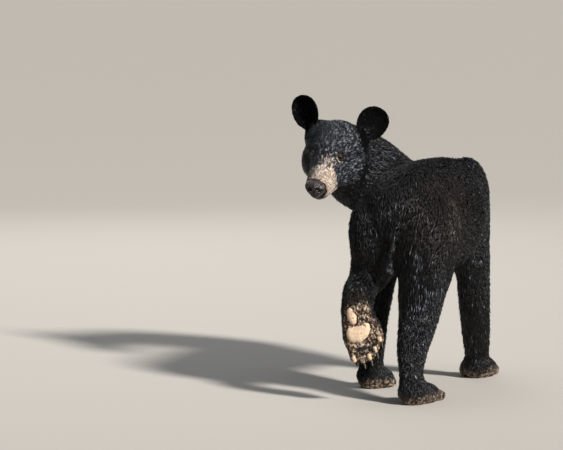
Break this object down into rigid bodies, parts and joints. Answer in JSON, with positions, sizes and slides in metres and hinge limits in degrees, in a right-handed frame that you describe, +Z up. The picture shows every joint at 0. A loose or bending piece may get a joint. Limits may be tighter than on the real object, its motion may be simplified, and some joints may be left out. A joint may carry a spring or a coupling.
{
  "type": "black bear",
  "caption": "Life-size still model of a yearling black bear in mid step, one hind foot lifted, looking back over its left shoulder.",
  "frame": {"origin": "on the floor, under the middle of the model's bounding box", "axes": "+Y the way the bear's trunk walks, +X to its right, +Z up"},
  "size_m": [0.5072, 0.7666, 0.6584],
  "materials": {
    "coat": "short, sleek, near-black summer coat",
    "muzzle_coat": "very short tan hair of the muzzle",
    "nose_leather": "bare, moist, dark brown nose",
    "eye": "glossy dark brown eye",
    "claw": "dark horn",
    "pad": "dry, pale, dusty sole pads"
  },
  "bodies": {
    "root": {"barrel": "coat", "chest": "coat", "rump": "coat", "neck": "coat", "head": "coat", "tail": "coat", "ear_left": "coat", "ear_right": "coat", "thigh_left": "coat", "shank_left": "coat", "hindpaw_left": "coat", "thigh_right": "coat", "shank_right": "coat", "hindpaw_right": "coat", "upper_foreleg_left": "coat", "lower_foreleg_left": "coat", "forepaw_left": "coat", "upper_foreleg_right": "coat", "lower_foreleg_right": "coat", "forepaw_right": "coat", "muzzle": "muzzle_coat", "lower_jaw": "muzzle_coat", "nose": "nose_leather", "eye_left": "eye", "eye_right": "eye", "claw_forepaw_left_1": "claw", "claw_forepaw_left_2": "claw", "claw_forepaw_left_3": "claw", "claw_forepaw_left_4": "claw", "claw_forepaw_left_5": "claw", "claw_forepaw_right_1": "claw", "claw_forepaw_right_2": "claw", "claw_forepaw_right_3": "claw", "claw_forepaw_right_4": "claw", "claw_forepaw_right_5": "claw", "claw_hindpaw_left_1": "claw", "claw_hindpaw_left_2": "claw", "claw_hindpaw_left_3": "claw", "claw_hindpaw_left_4": "claw", "claw_hindpaw_left_5": "claw", "claw_hindpaw_right_1": "claw", "claw_hindpaw_right_2": "claw", "claw_hindpaw_right_3": "claw", "claw_hindpaw_right_4": "claw", "claw_hindpaw_right_5": "claw", "pad_heel": "pad", "pad_sole": "pad", "pad_toe_1": "pad", "pad_toe_2": "pad", "pad_toe_3": "pad", "pad_toe_4": "pad", "pad_toe_5": "pad"}
  },
  "joints": []
}
